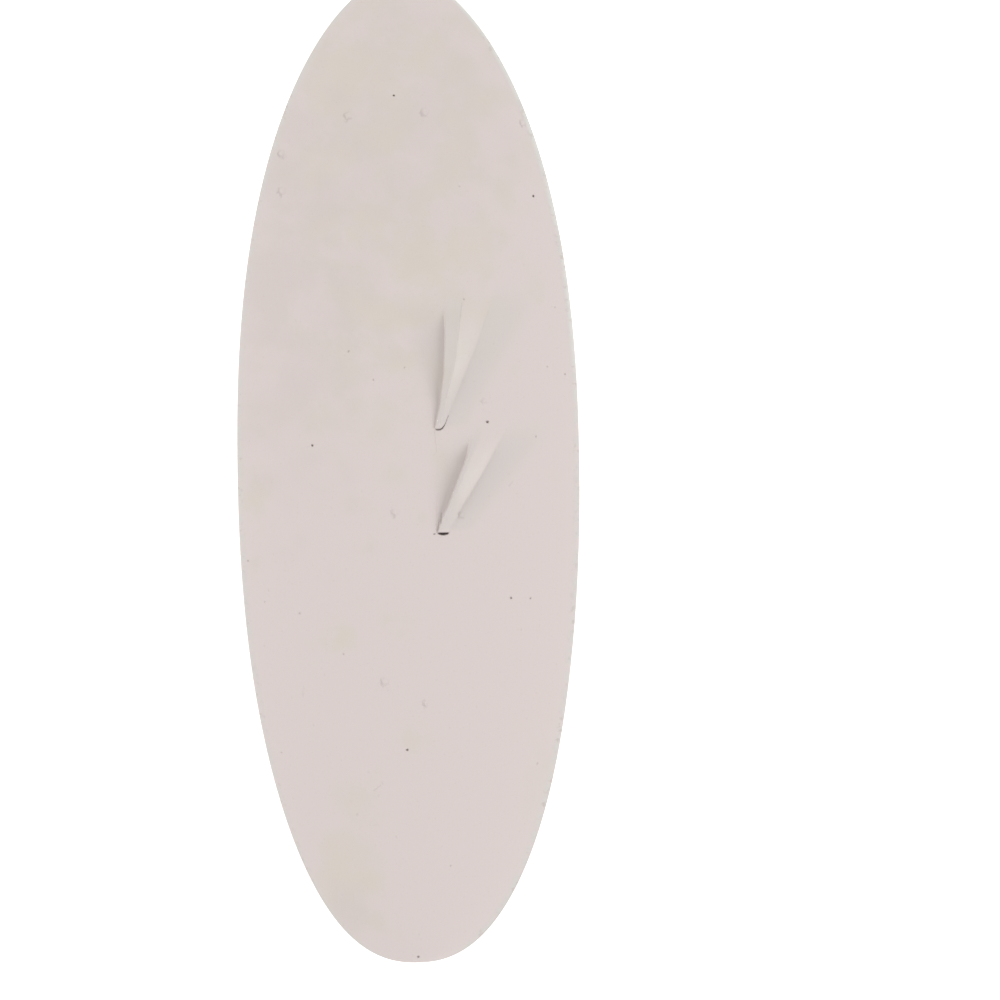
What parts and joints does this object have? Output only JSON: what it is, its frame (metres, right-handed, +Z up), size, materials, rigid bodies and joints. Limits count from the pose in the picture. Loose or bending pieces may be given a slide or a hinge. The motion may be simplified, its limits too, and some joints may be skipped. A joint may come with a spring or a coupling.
{
  "type": "cuttlebone",
  "caption": "Long oval cuttlebone with a smooth, slightly domed hard back, a bulging chalky belly and a thin rim, lying belly down; slivers of the back are torn up near the middle.",
  "frame": {"origin": "on the surface that the bone lies on, under the middle of its length and width", "axes": "+Y along the bone towards its pointed front end, +X to the right seen from above, +Z up out of the hard back"},
  "size_m": [0.0516, 0.15, 0.0156],
  "materials": {
    "shell": "matte, chalky, pinkish grey-white with faint yellowish mottling and fine dark pinholes"
  },
  "bodies": {
    "root": {"cuttlebone": "shell"}
  },
  "joints": []
}
